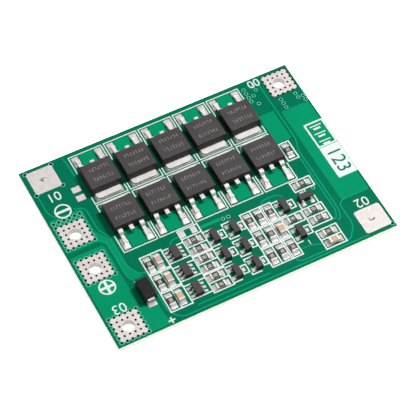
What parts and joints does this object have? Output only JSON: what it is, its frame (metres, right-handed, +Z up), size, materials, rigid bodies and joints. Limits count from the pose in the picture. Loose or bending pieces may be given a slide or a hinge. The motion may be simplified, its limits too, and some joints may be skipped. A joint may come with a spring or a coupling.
{
  "type": "battery management board",
  "caption": "Rectangular circuit board with two rows of power transistors, small control circuits and square solder terminals with wire holes.",
  "frame": {"origin": "middle of the board on the plane that its back lands stand on", "axes": "+X along the long edge towards the pack minus terminal, +Y across the board from the small control circuits towards the power transistors, +Z up out of the component side"},
  "size_m": [0.06, 0.045, 0.0036],
  "materials": {
    "laminate": "green solder mask over glass-fibre laminate",
    "tinned_land": "tinned copper land",
    "tinned_lead": "tinned copper leadframe",
    "tinned_cap": "tinned end cap",
    "black_moulding": "moulded epoxy, satin",
    "resistor_ceramic": "glass-coated resistive film",
    "capacitor_ceramic": "fired ceramic"
  },
  "bodies": {
    "root": {"terminal_first_tap": "tinned_land", "terminal_output_minus": "tinned_land", "terminal_output_plus": "tinned_land", "terminal_pack_plus": "tinned_land", "terminal_pack_minus": "tinned_land", "terminal_second_tap": "tinned_land", "wiring_board": "laminate", "power_moulding_lower_1": "black_moulding", "power_leads_lower_1": "tinned_lead", "power_moulding_lower_2": "black_moulding", "power_leads_lower_2": "tinned_lead", "power_moulding_lower_3": "black_moulding", "power_leads_lower_3": "tinned_lead", "power_moulding_lower_4": "black_moulding", "power_leads_lower_4": "tinned_lead", "power_moulding_lower_5": "black_moulding", "power_leads_lower_5": "tinned_lead", "power_moulding_upper_1": "black_moulding", "power_leads_upper_1": "tinned_lead", "power_moulding_upper_2": "black_moulding", "power_leads_upper_2": "tinned_lead", "power_moulding_upper_3": "black_moulding", "power_leads_upper_3": "tinned_lead", "power_moulding_upper_4": "black_moulding", "power_leads_upper_4": "tinned_lead", "power_moulding_upper_5": "black_moulding", "power_leads_upper_5": "tinned_lead", "small_transistor_body_1": "black_moulding", "small_transistor_leads_1": "tinned_lead", "small_transistor_body_2": "black_moulding", "small_transistor_leads_2": "tinned_lead", "small_transistor_body_3": "black_moulding", "small_transistor_leads_3": "tinned_lead", "small_transistor_body_4": "black_moulding", "small_transistor_leads_4": "tinned_lead", "small_transistor_body_5": "black_moulding", "small_transistor_leads_5": "tinned_lead", "small_transistor_body_6": "black_moulding", "small_transistor_leads_6": "tinned_lead", "small_transistor_body_7": "black_moulding", "small_transistor_leads_7": "tinned_lead", "small_transistor_body_8": "black_moulding", "small_transistor_leads_8": "tinned_lead", "small_transistor_body_9": "black_moulding", "small_transistor_leads_9": "tinned_lead", "controller_body_1": "black_moulding", "controller_leads_1": "tinned_lead", "controller_body_2": "black_moulding", "controller_leads_2": "tinned_lead", "controller_body_3": "black_moulding", "controller_leads_3": "tinned_lead", "diode_body": "black_moulding", "diode_leads": "tinned_lead", "chip_resistor_bodies": "resistor_ceramic", "chip_resistor_end_caps": "tinned_cap", "chip_capacitor_bodies": "capacitor_ceramic", "chip_capacitor_end_caps": "tinned_cap", "solder_lands": "tinned_land"}
  },
  "joints": []
}
